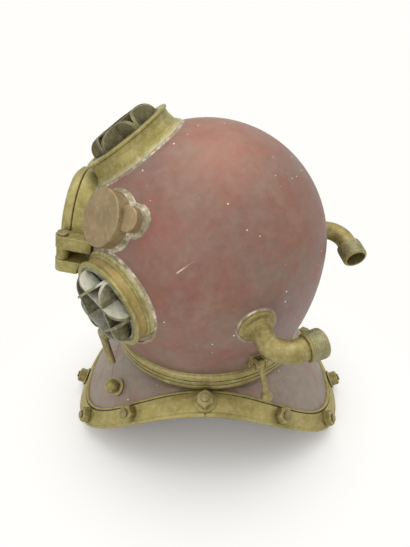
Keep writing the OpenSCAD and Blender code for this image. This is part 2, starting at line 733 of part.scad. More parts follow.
module speaker_clamp()
    color(brass) on_bonnet(cup_turn, cup_lift) translate([0, 0, speaker_z - 4.2]) difference() {
        rotate_extrude($fn = 64) polygon([[speaker_r - 12, 0], [cup_r - cup_wall - 0.1, 0],
            [cup_r - cup_wall - 0.1, 8], [speaker_r + 0.2, 8], [speaker_r - 5.2, 4],
            [speaker_r - 12, 4]]);
        for (a = [0:90:270]) rotate([0, 0, a]) translate([speaker_r - 8, -2, -1]) cube([8, 4, 3]);
    }

// Elbows: a flange on the bonnet, a tube that bends through a right angle, a threaded sleeve.
module elbow_path(reach, r, lead)
{
    translate([0, 0, root_z + 5]) cylinder(r = r, h = reach + elbow_root - root_z - 5, $fn = 64);
    translate([elbow_bend, 0, elbow_root + reach]) rotate([90, 0, 0]) rotate([0, 0, 90])
        rotate_extrude(angle = 90, $fn = 96) translate([elbow_bend, 0]) circle(r = r, $fn = 64);
    translate([elbow_bend, 0, elbow_root + reach + elbow_bend]) rotate([0, 90, 0])
        cylinder(r = r, h = lead, $fn = 64);
}
elbow_root = bonnet_r;
elbow_lead = 8;
elbow_seat = 8;
module elbow(turn, lift, roll, reach)
    color(brass) difference() {
        union() {
            difference() {
                on_bonnet(turn, lift) rotate([0, 0, roll]) {
                    elbow_path(reach, elbow_r, elbow_lead);
                    rotate_extrude($fn = 64) polygon([[0, root_z + 5], [elbow_flange_r, root_z + 5],
                        [elbow_flange_r, elbow_root + 3], [elbow_flange_r - 2, elbow_root + 4.5],
                        [elbow_r + 3, elbow_root + 5.5], [elbow_r, elbow_root + 9],
                        [0, elbow_root + 9]]);
                }
                bonnet_solid(seat_gap);
            }
            on_bonnet(turn, lift) translate([0, 0, elbow_root - 15])
                cylinder(r = elbow_hole_r - seat_gap, h = 20, $fn = 64);
            on_bonnet(turn, lift) rotate([0, 0, roll])
                translate([elbow_bend + elbow_lead, 0, elbow_root + reach + elbow_bend])
                    rotate([0, 90, 0]) cylinder(r = elbow_r - 1.2, h = elbow_seat, $fn = 64);
        }
        on_bonnet(turn, lift) rotate([0, 0, roll]) elbow_path(reach, elbow_bore_r, far);
    }
module air_elbow() elbow(air_turn, air_lift, air_roll, air_reach);
module telephone_elbow() elbow(phone_turn, phone_lift, phone_roll, phone_reach);

// Puts a child's +Z along an elbow's outlet, from the shoulder where its sleeve begins.
module at_outlet(turn, lift, roll, reach)
    on_bonnet(turn, lift) rotate([0, 0, roll])
        translate([elbow_bend + elbow_lead + 0.1, 0, elbow_root + reach + elbow_bend])
            rotate([0, 90, 0]) children();
module at_air() at_outlet(air_turn, air_lift, air_roll, air_reach) children();
module at_phone() at_outlet(phone_turn, phone_lift, phone_roll, phone_reach) children();

sleeve_bore_r = sleeve_r - 3.2;
valve_seat = elbow_seat + 6;
valve_seat_r = 7;
valve_lift = 4;
module sleeve_body(length)
    difference() {
        rotate_extrude($fn = 96) polygon([[0, 0], [sleeve_r - 1, 0], [sleeve_r, 1],
            [sleeve_r, length - 1.5], [sleeve_r - 1.5, length], [0, length]]);
        translate([0, 0, -1]) cylinder(r = elbow_r - 1.1, h = elbow_seat + 1.1, $fn = 64);
        children();
    }

// The air sleeve holds the non-return valve's seat and a bridge that guides the valve.
module air_sleeve()
    color(brass) at_air() sleeve_body(air_sleeve_len) {
        translate([0, 0, elbow_seat - 1]) cylinder(r = 11, h = valve_seat - elbow_seat + 1, $fn = 64);
        translate([0, 0, valve_seat - 1]) cylinder(r = valve_seat_r, h = 3.5, $fn = 64);
        difference() {
            translate([0, 0, valve_seat + 2]) cylinder(r = sleeve_bore_r, h = far, $fn = 64);
            translate([0, 0, valve_seat + 2]) difference() {
                union() {
                    translate([-20, -1.5, 0]) cube([40, 3, 3]);
                    cylinder(r = 3.5, h = 3, $fn = 48);
                }
                translate([0, 0, -1]) cylinder(r = 1.5 + run_gap, h = 6, $fn = 48);
            }
        }
    }
module check_valve()
    color(dark_brass) at_air() {
        translate([0, 0, valve_seat - 2.4]) cylinder(r = 9, h = 2, $fn = 64);
        translate([0, 0, valve_seat - 1]) cylinder(r = 1.5, h = 8, $fn = 48);
    }
module telephone_sleeve()
    color(brass) at_phone() sleeve_body(phone_sleeve_len)
        translate([0, 0, elbow_seat - 1]) cylinder(r = sleeve_bore_r, h = far, $fn = 64);

// Exhaust valve, on the diver's right. Its frame has +Z out of the bonnet.
module at_exhaust() on_bonnet(exhaust_turn, exhaust_lift) children();
exhaust_hole_r = exhaust_r - 6;
exhaust_top = bonnet_r + 16;
exhaust_neck_r = 12;
stem_r = 5;
chin_z = root_z - 2;
disc_z = bonnet_r - 4;
module exhaust_body()
    color(brass) difference() {
        union() {
            difference() {
                at_exhaust() rotate_extrude($fn = 96) polygon([[0, root_z], [exhaust_r + 7, root_z],
                    [exhaust_r + 7, bonnet_r + 1], [exhaust_r, bonnet_r + 3], [exhaust_r, exhaust_top - 3],
                    [exhaust_r - 4, exhaust_top], [0, exhaust_top]]);
                bonnet_solid(seat_gap);
            }
            at_exhaust() translate([0, 0, disc_z - 6]) cylinder(r = exhaust_hole_r - seat_gap, h = 16);
            at_exhaust() translate([0, 0, exhaust_top - 1]) cylinder(r = exhaust_neck_r, h = 13,
                $fn = 64);
        }
        at_exhaust() translate([0, 0, root_z + 10]) cylinder(r = exhaust_hole_r - 7, h = 32, $fn = 64);
        at_exhaust() translate([0, 0, disc_z - 0.4])
            cylinder(r = exhaust_hole_r - 3, h = exhaust_top - 4 - disc_z, $fn = 64);
        at_exhaust() cylinder(r = stem_r + run_gap, h = far, $fn = 64);
        at_exhaust() for (a = [0:45:315]) rotate([0, 0, a]) translate([0, 0, exhaust_top - 8])
            rotate([0, 90, 0]) cylinder(r = 2.6, h = 60, $fn = 24);
    }

module exhaust_stem()
    color(dark_brass) at_exhaust() rotate_extrude($fn = 64) polygon([[0, chin_z], [13, chin_z],
        [15, chin_z + 2], [15, chin_z + 3.5], [13, chin_z + 5], [stem_r, chin_z + 6],
        [stem_r, disc_z - 0.2],
        [exhaust_hole_r - 4, disc_z - 0.2], [exhaust_hole_r - 4, disc_z + 2.5],
        [stem_r, disc_z + 2.5], [stem_r, exhaust_top + 2], [0, exhaust_top + 2]]);

// The light spring behind the valve's disc, drawn as the tube that its turns fill.
module exhaust_spring()
    color("silver") at_exhaust() translate([0, 0, disc_z + 2.8]) difference() {
        cylinder(r = 9, h = exhaust_top - 4.8 - disc_z - 2.8 - chin_travel, $fn = 48);
        translate([0, 0, -1]) cylinder(r = stem_r + 1, h = 40, $fn = 48);
    }

module exhaust_wheel()
    color(brass) at_exhaust() translate([0, 0, exhaust_top + 0.4]) difference() {
        rotate_extrude($fn = 96) polygon([[0, 0], [wheel_r - 2, 0], [wheel_r, 2], [wheel_r, 9],
            [wheel_r - 3, 12], [16, 14.5], [0, 14.5]]);
        translate([0, 0, -1]) cylinder(r = exhaust_neck_r + run_gap, h = 13.2, $fn = 64);
        for (a = [0:30:330]) rotate([0, 0, a]) translate([wheel_r + 2.2, 0, -1])
            cylinder(r = 4, h = 30, $fn = 32);
    }

// Spitcock: a small tap low on the diver's left, with its lever hanging.
spit_wall = bonnet_at(spit_z);
spit_out = 16;
spit_plug_r = 5.6;
spit_hole_r = 5;
spit_lean = 34;
spit_lever_r = 5;
spit_lever_z = spit_out - 1.5 + spit_lever_r + move_gap;
module spitcock_body()
    color(brass) difference() {
        union() {
            difference() {
                at_wall(spit_turn, spit_z) {
                    cylinder(r = spit_r + 4, h = spit_wall + 3, $fn = 64);
                    cylinder(r = spit_r, h = spit_wall + spit_out - 1.5, $fn = 64);
                    translate([0, 0, spit_wall + 8]) rotate([90, 0, -150])
                        cylinder(r = 4.5, h = spit_r + 9, $fn = 48);
                }
                bonnet_solid(seat_gap);
            }
            at_wall(spit_turn, spit_z) translate([0, 0, spit_wall - 5])
                cylinder(r = spit_hole_r - seat_gap, h = 10, $fn = 48);
        }
        at_wall(spit_turn, spit_z) cylinder(r = 2.5, h = far, $fn = 32);
        at_wall(spit_turn, spit_z) translate([0, 0, spit_wall + 3])
            cylinder(r = spit_plug_r + run_gap, h = far, $fn = 64);
        at_wall(spit_turn, spit_z) translate([0, 0, spit_wall + 8]) rotate([90, 0, -150])
            cylinder(r = 2.5, h = 60, $fn = 32);
    }
module spitcock_plug()
    color(dark_brass) at_wall(spit_turn, spit_z) translate([0, 0, spit_wall]) {
        translate([0, 0, 3.4]) cylinder(r = spit_plug_r, h = spit_out - 2, $fn = 64);
        translate([0, 0, spit_out - 1]) rotate_extrude($fn = 64) polygon([[0, 0], [spit_r, 0],
            [spit_r, 6], [spit_r - 2.5, 9], [0, 9]]);
        translate([0, 0, spit_lever_z]) rotate([90, 0, spit_lean]) {
            cylinder(r = spit_lever_r, h = spit_lever - 1, $fn = 48);
            translate([0, 0, spit_lever - 1]) cylinder(r = spit_lever_r - 1, h = 1, $fn = 48);
        }
    }

// Safety latch at the back of the diver's left side: it stops the bonnet from turning.
latch_turn = 116;
latch_z = neck_z + 48.5;
latch_r = bonnet_at(latch_z) + 11;
latch_pin_r = 2.5;
latch_half = 4;
module at_latch() at_wall(latch_turn, latch_z) children();
module latch_bracket()
    color(brass) difference() {
        at_latch() {
            for (s = [-1, 1]) translate([s * (latch_half + 0.5 + 2), 0, 0]) {
                rotate([0, 90, 0]) translate([-latch_r, 0, -2]) cylinder(r = 6, h = 4, $fn = 48);
                translate([-2, -6, 120]) cube([4, 12, latch_r - 120]);
            }
            translate([-latch_half - 7, -9, 120])
                cube([2 * latch_half + 14, 18, bonnet_at(latch_z) + 3 - 120]);
        }
        bonnet_solid(seat_gap);
        at_latch() rotate([0, 90, 0]) translate([-latch_r, 0, -20])
            cylinder(r = latch_pin_r + 0.02, h = 40, $fn = 48);
    }
module latch_pin()
    color(dark_brass) at_latch() translate([-latch_half - 6, 0, latch_r]) rotate([0, 90, 0])
        cylinder(r = latch_pin_r, h = 2 * latch_half + 12, $fn = 48);
module latch_lever()
    color(brass) at_latch() translate([0, 0, latch_r]) difference() {
        union() {
            rotate([0, 90, 0]) translate([0, 0, -latch_half]) cylinder(r = 5, h = 2 * latch_half,
                $fn = 48);
            rotate([90 - latch_lean, 0, 0]) cylinder(r = 3.4, h = latch_len, $fn = 48);
            rotate([90 - latch_lean, 0, 0]) translate([0, 0, latch_len]) sphere(r = latch_ball_r, $fn = 64);
        }
        rotate([0, 90, 0]) translate([0, 0, -20]) cylinder(r = latch_pin_r + run_gap, h = 40, $fn = 48);
    }
latch_lean = 27;
latch_ball_r = 7.5;

breastplate_shell();
breastplate_collar();
neck_gasket();
brail_front_left();
brail_front_right();
brail_back_left();
brail_back_right();
rim_studs();
rim_nuts();
joint_nuts();
lanyard_stud_left();
lanyard_stud_right();
bonnet_shell();
bonnet_ring();
front_port_ring();
hinge_pin();
bolt_pin();
faceplate_frame();
faceplate_fork();
faceplate_gasket();
faceplate_glass();
faceplate_retainer();
swing_bolt();
wing_nut();
top_window_ring();
top_window_glass();
top_window_guard();
left_window_ring();
left_window_glass();
left_window_guard();
right_window_ring();
right_window_glass();
right_window_guard();
telephone_cup();
lead_boss();
speaker_unit();
speaker_clamp();
air_elbow();
air_sleeve();
check_valve();
telephone_elbow();
telephone_sleeve();
exhaust_body();
exhaust_wheel();
exhaust_stem();
exhaust_spring();
spitcock_body();
spitcock_plug();
latch_bracket();
latch_pin();
latch_lever();
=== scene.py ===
"""The look of a copper and brass diving helmet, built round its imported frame."""

import math

import bmesh
import bpy
from mathutils import Matrix, Vector, noise


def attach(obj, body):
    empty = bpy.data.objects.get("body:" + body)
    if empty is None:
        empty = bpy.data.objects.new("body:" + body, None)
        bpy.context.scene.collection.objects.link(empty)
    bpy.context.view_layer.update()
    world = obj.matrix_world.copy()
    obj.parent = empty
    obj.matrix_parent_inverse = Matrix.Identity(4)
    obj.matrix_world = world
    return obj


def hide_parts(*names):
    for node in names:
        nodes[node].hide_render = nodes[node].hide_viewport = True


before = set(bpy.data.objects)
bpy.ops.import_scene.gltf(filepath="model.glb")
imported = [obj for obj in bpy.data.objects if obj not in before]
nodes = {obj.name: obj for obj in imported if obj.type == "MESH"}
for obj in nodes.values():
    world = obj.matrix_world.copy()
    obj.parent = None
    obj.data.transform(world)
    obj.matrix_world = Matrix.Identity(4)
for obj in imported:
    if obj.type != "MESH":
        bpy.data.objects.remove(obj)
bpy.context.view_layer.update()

# Bonnet. The real one is 2.5 mm sheet copper, spun to a ball that narrows to the neck. It
# has no lacquer: years of handling and lime water left a dull mauve brown, redder where the
# tarnish is thin, greyer low down, with shallow dents, pale specks and a few scratches.
MM = 0.001
BONNET_R = 161 * MM
BONNET_CENTRE = Vector((0, 0, 289 * MM))
# Below its centre the sheet narrows along an arc of this radius
LOWER_R = 303 * MM


def colour(code):
    """An sRGB hex value as the linear colour that a node takes."""
    parts = [int(code[i : i + 2], 16) / 255 for i in (1, 3, 5)]
    return [c / 12.92 if c <= 0.04045 else ((c + 0.055) / 1.055) ** 2.4 for c in parts] + [1]


def add(tree, kind, inputs=None, stops=None, **settings):
    """Adds a shader node with its settings, its colour stops, and its values and links."""
    node = tree.nodes.new("ShaderNode" + kind)
    for name, value in settings.items():
        setattr(node, name, value)
    for name, value in (inputs or {}).items():
        if isinstance(value, bpy.types.NodeSocket):
            tree.links.new(value, node.inputs[name])
        else:
            node.inputs[name].default_value = value
    if stops:
        ramp = node.color_ramp
        while len(ramp.elements) < len(stops):
            ramp.elements.new(0.5)
        for element, (spot, code) in zip(ramp.elements, stops):
            element.position = spot
            element.color = colour(code)
    return node


def new_material(name):
    """An empty material with its node tree and its surface shader."""
    material = bpy.data.materials.new(name)
    material.use_nodes = True
    tree = material.node_tree
    tree.nodes.clear()
    surface = add(tree, "BsdfPrincipled")
    add(tree, "OutputMaterial", {"Surface": surface.outputs[0]})
    return material, tree, surface


def dress(names, material):
    """Gives CAD nodes their material."""
    for name in names:
        mesh = nodes[name].data
        if not mesh.materials:
            mesh.materials.append(material)
        for i in range(len(mesh.materials)):
            mesh.materials[i] = material


def on_bonnet(turn, lift):
    """The frame of a fitting: +Z out of the bonnet, +Y up, +X towards the diver's left."""
    return (
        Matrix.Translation(BONNET_CENTRE)
        @ Matrix.Rotation(math.radians(turn), 4, "Z")
        @ Matrix.Rotation(math.radians(90 - lift), 4, "X")
    )


def bonnet_gap(point):
    """How far a point lies outside the bonnet's surface."""
    ball = point - BONNET_CENTRE
    if ball.z >= 0:
        return ball.length - BONNET_R
    return math.hypot(math.hypot(ball.x, ball.y) + LOWER_R - BONNET_R, ball.z) - LOWER_R


def seat_point(place, radius, angle):
    """The point of the bonnet's surface that lies radius from a fitting's axis."""
    low, high = 90 * MM, 220 * MM
    for _ in range(30):
        middle = (low + high) / 2
        across, upward = radius * math.cos(angle), radius * math.sin(angle)
        if bonnet_gap(place @ Vector((across, upward, middle))) > 0:
            high = middle
        else:
            low = middle
    return Vector((across, upward, low))


# Each fitting on the bonnet: its frame and the radius of its foot
SEATS = {
    "front_port": (on_bonnet(0, 12), 66 * MM),
    "top_window": (on_bonnet(0, 55.5), 66 * MM),
    "left_window": (on_bonnet(47, -7.5), 61.5 * MM),
    "right_window": (on_bonnet(-47, -7.5), 61.5 * MM),
    "cup": (on_bonnet(44, 28), 32.5 * MM),
    "boss": (on_bonnet(57.5, 31), 14 * MM),
    "air_elbow": (on_bonnet(112, -11.5), 23 * MM),
    "telephone_elbow": (on_bonnet(-165, -2), 23 * MM),
    "exhaust": (on_bonnet(-116, -14), 34 * MM),
}
# Where the tarnish differs, and a painted highlight on the crown: the place, how far the tint
# reaches, its colour and strength
BONNET_TINTS = [
    ((0.128, -0.058, 0.352), 0.060, "#8a5247", 0.45),
    ((0.150, -0.020, 0.300), 0.050, "#85544c", 0.45),
    # A lighter salmon on the crown: a painted highlight where the lamp overhead falls
    ((0.050, 0.020, 0.440), 0.100, "#a06d5a", 0.60),
    ((0.060, -0.070, 0.410), 0.060, "#8c7770", 0.50),
    ((0.120, 0.105, 0.235), 0.090, "#8b7b7a", 0.60),
    ((0.040, 0.150, 0.330), 0.090, "#7d6058", 0.45),
    ((0.115, -0.085, 0.372), 0.050, "#8b736d", 0.45),
    ((0.150, 0.030, 0.212), 0.030, "#85534a", 0.45),
    ((0.135, -0.030, 0.190), 0.045, "#937c76", 0.45),
]
# A bright scratch behind the cup: its ends, its half width and its colour
BONNET_LINES = [(Vector((0.1535, -0.028, 0.330)), Vector((0.1505, -0.010, 0.343)),
    0.9 * MM, "#dcc3ae")]
# A darker olive band above the neck ring, from the ring's top face to where it ends
BONNET_DARK_BAND = (164 * MM, 184 * MM)


def spun_copper(name, stops, tints=(), seats=(), lines=(), dark_bands=()):
    """Tarnished copper: a third metal, the rest brown oxide, with a soft broad shine."""
    material, tree, surface = new_material(name)
    where = add(tree, "TexCoord").outputs["Object"]
    # Clouds of tarnish about 110 mm across, blotches of 35 mm and mottling of about 10 mm
    clouds = add(tree, "TexNoise", {"Vector": where, "Scale": 9, "Detail": 6,
        "Roughness": 0.62, "Distortion": 0.5}).outputs[0]
    blotch = add(tree, "TexNoise", {"Vector": where, "Scale": 28, "Detail": 7,
        "Roughness": 0.66, "Distortion": 0.3}).outputs[0]
    mottle = add(tree, "TexNoise", {"Vector": where, "Scale": 95, "Detail": 7,
        "Roughness": 0.7, "Distortion": 0.3}).outputs[0]
    paint = add(tree, "ValToRGB", {0: clouds}, stops=stops).outputs[0]
    for spot, reach, code, strength in tints:
        away = add(tree, "VectorMath", {0: where, 1: spot}, operation="DISTANCE").outputs[1]
        ragged = add(tree, "Math", {0: clouds, 1: reach * 0.9, 2: away}, operation="MULTIPLY_ADD")
        near = add(tree, "MapRange", {"Value": ragged.outputs[0], "From Min": reach * 1.45,
            "From Max": reach * 0.5, "To Max": strength}, interpolation_type="SMOOTHSTEP")
        paint = add(tree, "Mix", {0: near.outputs[0], 6: paint, 7: colour(code)},
            data_type="RGBA").outputs[2]
    # Thin tarnish shows the red metal, thick tarnish is a grey film
    for start, end, code, strength in ((0.48, 0.68, "#874d3d", 0.4), (0.5, 0.32, "#857567", 0.45)):
        share = add(tree, "MapRange", {"Value": blotch, "From Min": start, "From Max": end,
            "To Max": strength}).outputs[0]
        paint = add(tree, "Mix", {0: share, 6: paint, 7: colour(code)},
            data_type="RGBA").outputs[2]
    # Darker olive towards a ring below, broken up by the blotches
    for low, high in dark_bands:
        height = add(tree, "SeparateXYZ", {0: where}).outputs[2]
        near = add(tree, "MapRange", {"Value": height, "From Min": high,
            "From Max": low}).outputs[0]
        near = add(tree, "Math", {0: near, 1: blotch}, operation="MULTIPLY").outputs[0]
        share = add(tree, "MapRange", {"Value": near, "From Min": 0.05, "From Max": 0.5,
            "To Max": 0.75}).outputs[0]
        paint = add(tree, "Mix", {0: share, 6: paint, 7: colour("#665c45")},
            data_type="RGBA").outputs[2]
    shade = add(tree, "MapRange", {"Value": mottle, "From Min": 0.3, "From Max": 0.7,
        "To Min": 0.84, "To Max": 1.15}).outputs[0]
    paint = add(tree, "VectorMath", {0: paint, 3: shade}, operation="SCALE").outputs[0]
    # Lime that dried along the feet of the fittings, in a broken band up to 5 mm wide
    lime = None
    for frame_here, radius in seats:
        crown = frame_here @ seat_point(frame_here, 0, 0)
        reach = (frame_here @ seat_point(frame_here, radius, 0) - crown).length
        away = add(tree, "VectorMath", {0: where, 1: crown}, operation="DISTANCE").outputs[1]
        band = add(tree, "MapRange", {"Value": away, "From Min": reach + 6 * MM,
            "From Max": reach + 1 * MM}).outputs[0]
        lime = band if lime is None else add(tree, "Math", {0: lime, 1: band},
            operation="MAXIMUM").outputs[0]
    if lime is not None:
        torn = add(tree, "Math", {0: lime, 1: mottle}, operation="MULTIPLY").outputs[0]
        film = add(tree, "MapRange", {"Value": torn, "From Min": 0.22, "From Max": 0.55,
            "To Max": 0.6}).outputs[0]
        paint = add(tree, "Mix", {0: film, 6: paint, 7: colour("#b9ab99")},
            data_type="RGBA").outputs[2]
    # Pale specks up to 3 mm across and dark pits up to 4 mm, coarser than the real ones so
    # that they show
    for scale, least, most, code in ((90, 0.5, 0.12, "#dccfc0"), (34, 0.6, 0.075, "#54413b")):
        cells = add(tree, "TexVoronoi", {"Vector": where, "Scale": scale, "Randomness": 1})
        chosen = add(tree, "SeparateColor", {0: cells.outputs["Color"]}).outputs[0]
        size = add(tree, "MapRange", {"Value": chosen, "From Min": least, "From Max": 1,
            "To Min": 0, "To Max": most}).outputs[0]
        speck = add(tree, "Math", {0: cells.outputs["Distance"], 1: size},
            operation="LESS_THAN").outputs[0]
        paint = add(tree, "Mix", {0: speck, 6: paint, 7: colour(code)},
            data_type="RGBA").outputs[2]
    # Scratches and other thin lines: each one's ends, half width and colour
    for start, end, width, code in lines:
        along = (end - start).normalized()
        from_start = add(tree, "VectorMath", {0: where, 1: start}, operation="SUBTRACT").outputs[0]
        run = add(tree, "VectorMath", {0: from_start, 1: along}, operation="DOT_PRODUCT").outputs[1]
        held = add(tree, "MapRange", {"Value": run, "From Min": 0, "From Max": (end - start).length,
            "To Max": (end - start).length}).outputs[0]
        nearest = add(tree, "VectorMath", {0: along, 3: held}, operation="SCALE").outputs[0]
        side = add(tree, "VectorMath", {0: from_start, 1: nearest}, operation="DISTANCE").outputs[1]
        line = add(tree, "MapRange", {"Value": side, "From Min": width, "From Max": width * 0.4,
            "To Max": 0.9}).outputs[0]
        paint = add(tree, "Mix", {0: line, 6: paint, 7: colour(code)},
            data_type="RGBA").outputs[2]
    roughness = add(tree, "MapRange", {"Value": mottle, "From Min": 0.3, "From Max": 0.7,
        "To Min": 0.46, "To Max": 0.64}).outputs[0]
    # Shallow dents of half a millimetre under the grain of the tarnish
    dents = add(tree, "Bump", {"Height": blotch, "Distance": 0.9 * MM, "Strength": 0.5}).outputs[0]
    grain = add(tree, "Bump", {"Height": mottle, "Distance": 0.12 * MM, "Strength": 0.6,
        "Normal": dents}).outputs[0]
    for socket, value in (("Base Color", paint), ("Roughness", roughness), ("Normal", grain)):
        tree.links.new(value, surface.inputs[socket])
    surface.inputs["Metallic"].default_value = 0.3
    return material


dress(["bonnet_shell"], spun_copper("copper_spun_and_tarnished",
    [(0.3, "#7f6b5f"), (0.45, "#826659"), (0.58, "#855f50"), (0.72, "#90705f")],
    tints=BONNET_TINTS, seats=SEATS.values(), lines=BONNET_LINES, dark_bands=[BONNET_DARK_BAND]))

# Breastplate sheet. The real one is copper beaten to the saddle of chest, back and
# shoulders. It is handled less than the bonnet, so its brown is greyer and flatter. A thin dark
# line is drawn down it near the front.
DARK_LINE_HALF_WIDTH = 0.9 * MM
DARK_LINE_POINTS = [Vector((0.0245, -0.1388, 0.1167)), Vector((0.0513, -0.1408, 0.1081)),
    Vector((0.0740, -0.1421, 0.0976))]
dress(["breastplate_shell"], spun_copper("copper_beaten_and_tarnished",
    [(0.3, "#7d7062"), (0.48, "#8b7f72"), (0.6, "#908477"), (0.74, "#856f5f")],
    lines=[(start, end, DARK_LINE_HALF_WIDTH, "#4a3d33")
        for start, end in zip(DARK_LINE_POINTS, DARK_LINE_POINTS[1:])]))

# Neck joint. The real collar and bonnet ring are gunmetal castings, turned on their faces
# and cut with a broken thread, with a leather washer between them.
BRASS_STOPS = [(0.3, "#726638"), (0.45, "#8b7e4c"), (0.58, "#9d9059"), (0.75, "#b0a475")]


def cast_brass(name, stops, worn, roughness=0.48, painted_shade_and_grime=0.5, lime=0.25, metal=0.55, painted_top_light=0,
    foot=0, bands=()):
    """Cast brass with an olive tarnish, bright where edges rub and darkened in its corners by
    painted shade and grime.
    """
    material, tree, surface = new_material(name)
    where = add(tree, "TexCoord").outputs["Object"]
    # Stains about 30 mm across, and the mottling of the casting skin, about 6 mm
    stains = add(tree, "TexNoise", {"Vector": where, "Scale": 33, "Detail": 5,
        "Roughness": 0.64, "Distortion": 0.6}).outputs[0]
    skin = add(tree, "TexNoise", {"Vector": where, "Scale": 170, "Detail": 5,
        "Roughness": 0.7}).outputs[0]
    both = add(tree, "Mix", {0: 0.35, 2: stains, 3: skin}).outputs[0]
    paint = add(tree, "ValToRGB", {0: both}, stops=stops).outputs[0]
    # Stripes round a fitting: its frame, the heights along its axis, the colour and strength
    for here, low, high, code, strength in bands:
        axis = (here.to_3x3() @ Vector((0, 0, 1))).normalized()
        rise = add(tree, "VectorMath", {0: where, 1: axis}, operation="DOT_PRODUCT").outputs[1]
        middle = axis.dot(here.translation) + (low + high) / 2
        away = add(tree, "Math", {0: rise, 1: middle}, operation="SUBTRACT").outputs[0]
        away = add(tree, "Math", {0: away}, operation="ABSOLUTE").outputs[0]
        share = add(tree, "MapRange", {"Value": away, "From Min": (high - low) / 2 + 0.4 * MM,
            "From Max": (high - low) / 2 - 0.4 * MM, "To Max": strength}).outputs[0]
        torn = add(tree, "MapRange", {"Value": stains, "From Min": 0.2,
            "From Max": 0.45}).outputs[0]
        share = add(tree, "Math", {0: share, 1: torn}, operation="MULTIPLY").outputs[0]
        paint = add(tree, "Mix", {0: share, 6: paint, 7: colour(code)},
            data_type="RGBA").outputs[2]
    # Edges of 1 mm are rounded in the light and rubbed bright
    rounded = add(tree, "Bevel", {"Radius": 1.1 * MM}, samples=4).outputs[0]
    flat = add(tree, "NewGeometry").outputs["Normal"]
    turn = add(tree, "VectorMath", {0: rounded, 1: flat}, operation="DOT_PRODUCT").outputs[1]
    edge = add(tree, "MapRange", {"Value": turn, "From Min": 0.985, "From Max": 0.82,
        "To Max": 1.3}).outputs[0]
    open_sky = add(tree, "AmbientOcclusion", {"Distance": 9 * MM}, samples=4).outputs["AO"]
    rubbed = add(tree, "Math", {0: edge, 1: skin}, operation="MULTIPLY", use_clamp=True).outputs[0]
    rubbed = add(tree, "Math", {0: rubbed, 1: open_sky}, operation="MULTIPLY").outputs[0]
    paint = add(tree, "Mix", {0: rubbed, 6: paint, 7: colour(worn)}, data_type="RGBA").outputs[2]
    # Painted shade: dark olive where the AO node finds the surface hemmed in, in corners and
    # between parts, standing for grime too
    deep = add(tree, "MapRange", {"Value": open_sky, "From Min": 0.75, "From Max": 0.3,
        "To Max": painted_shade_and_grime}).outputs[0]
    paint = add(tree, "Mix", {0: deep, 6: paint, 7: colour("#45402b")}, data_type="RGBA").outputs[2]
    powder = add(tree, "MapRange", {"Value": skin, "From Min": 0.5, "From Max": 0.68,
        "To Max": lime}).outputs[0]
    paint = add(tree, "Mix", {0: powder, 6: paint, 7: colour("#c9c7ad")},
        data_type="RGBA").outputs[2]
    if foot:
        # Lime that the wet left where the casting meets the bonnet, up to 5 mm up its side
        away = add(tree, "VectorMath", {0: where, 1: BONNET_CENTRE},
            operation="DISTANCE").outputs[1]
        low = add(tree, "MapRange", {"Value": away, "From Min": BONNET_R + 5.5 * MM,
            "From Max": BONNET_R + 1 * MM}).outputs[0]
        torn = add(tree, "Math", {0: low, 1: skin}, operation="MULTIPLY").outputs[0]
        film = add(tree, "MapRange", {"Value": torn, "From Min": 0.15, "From Max": 0.5,
            "To Max": foot}).outputs[0]
        paint = add(tree, "Mix", {0: film, 6: paint, 7: colour("#cdc8b4")},
            data_type="RGBA").outputs[2]
    if painted_top_light:
        # Painted light: a ragged white film, like verdigris, on what faces up, where the lamp
        # overhead falls
        upward = add(tree, "SeparateXYZ", {0: flat}).outputs[2]
        ragged = add(tree, "MapRange", {"Value": both, "From Min": 0.38, "From Max": 0.58,
            "To Min": -0.5, "To Max": 0.2}).outputs[0]
        upward = add(tree, "Math", {0: upward, 1: ragged}).outputs[0]
        film = add(tree, "MapRange", {"Value": upward, "From Min": 0.1, "From Max": 1.0,
            "To Max": painted_top_light}).outputs[0]
        paint = add(tree, "Mix", {0: film, 6: paint, 7: colour("#cfcdbd")},
            data_type="RGBA").outputs[2]
    gloss = add(tree, "MapRange", {"Value": skin, "From Min": 0.3, "From Max": 0.7,
        "To Min": roughness - 0.07, "To Max": roughness + 0.16}).outputs[0]
    # Pits of the mould sand, 0.15 mm deep
    pits = add(tree, "Bump", {"Height": skin, "Distance": 0.25 * MM, "Strength": 0.6,
        "Normal": rounded}).outputs[0]
    for socket, value in (("Base Color", paint), ("Roughness", gloss), ("Normal", pits)):
        tree.links.new(value, surface.inputs[socket])
    surface.inputs["Metallic"].default_value = metal
    return material


brass_turned = cast_brass("brass_turned", BRASS_STOPS, "#cdbf8c", roughness=0.42)
dress(["bonnet_ring", "breastplate_collar"], brass_turned)

leather, tree, surface = new_material("leather_greased")
where = add(tree, "TexCoord").outputs["Object"]
pores = add(tree, "TexVoronoi", {"Vector": where, "Scale": 650}).outputs["Distance"]
hide = add(tree, "TexNoise", {"Vector": where, "Scale": 60, "Detail": 4}).outputs[0]
paint = add(tree, "ValToRGB", {0: hide}, stops=[(0.35, "#2c2118"), (0.65, "#4a3827")]).outputs[0]
bumps = add(tree, "Bump", {"Height": pores, "Distance": 0.2 * MM, "Strength": 0.7}).outputs[0]
tree.links.new(paint, surface.inputs["Base Color"])
tree.links.new(bumps, surface.inputs["Normal"])
surface.inputs["Roughness"].default_value = 0.62
dress(["neck_gasket"], leather)

